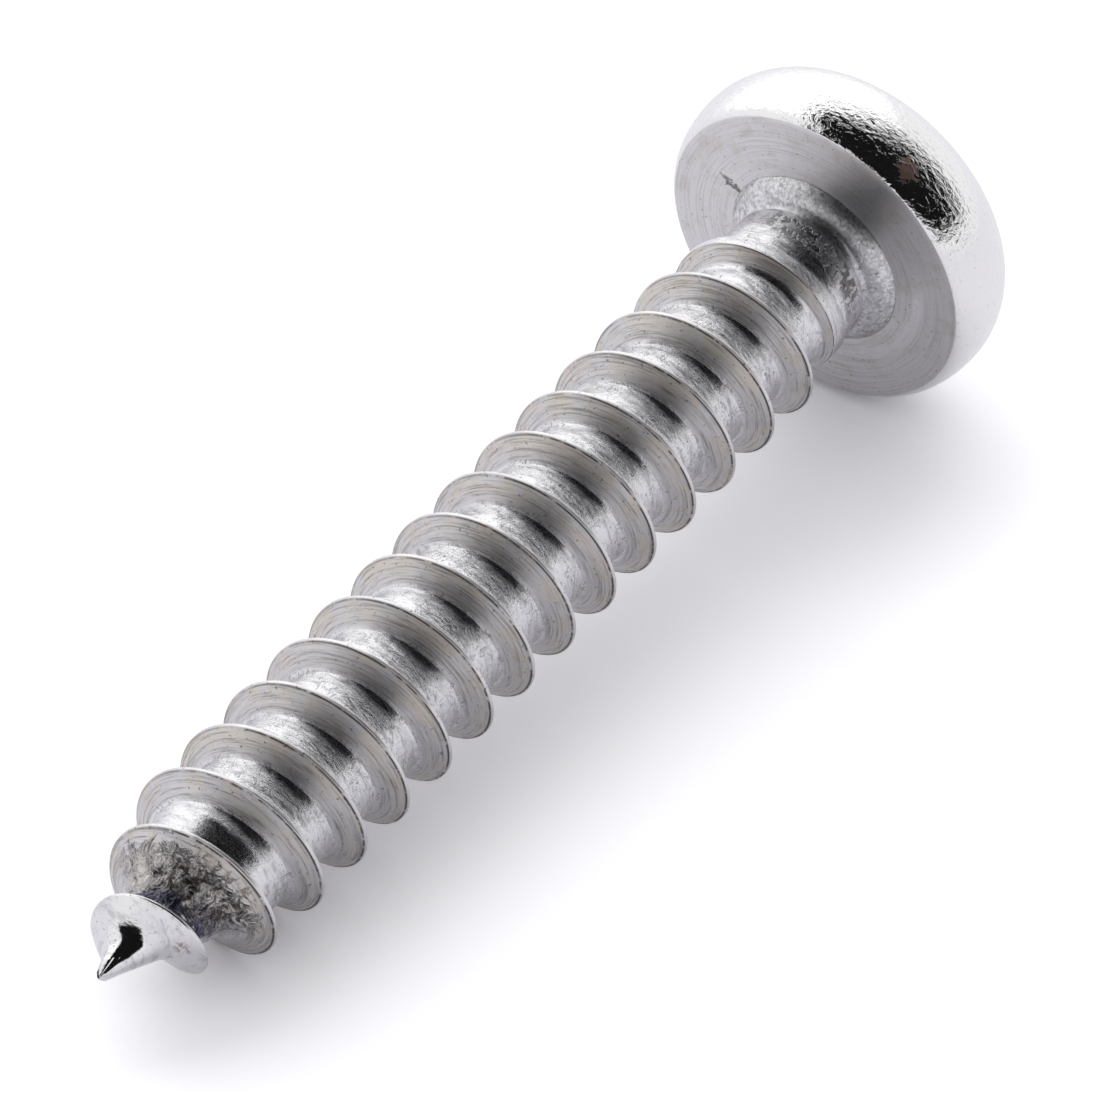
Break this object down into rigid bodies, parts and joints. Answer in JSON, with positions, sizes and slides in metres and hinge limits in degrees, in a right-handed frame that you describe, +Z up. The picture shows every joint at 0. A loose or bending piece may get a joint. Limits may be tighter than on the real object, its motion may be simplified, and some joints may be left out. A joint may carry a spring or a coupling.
{
  "type": "pan head self-tapping screw",
  "caption": "Pan head self-tapping screw with a coarse right-hand thread, a gimlet point and a cross recess, lying on its side.",
  "frame": {"origin": "on the floor, below the middle of the lying screw's box", "axes": "+X from the head towards the point, +Z up; the screw's own axis dips towards the point in the XZ plane"},
  "size_m": [0.0272, 0.0078, 0.0077],
  "materials": {
    "bright_steel": "bright plated steel, polished on the head's rim and the point, satin on the flanks and under the head"
  },
  "bodies": {
    "root": {"screw": "bright_steel"}
  },
  "joints": []
}
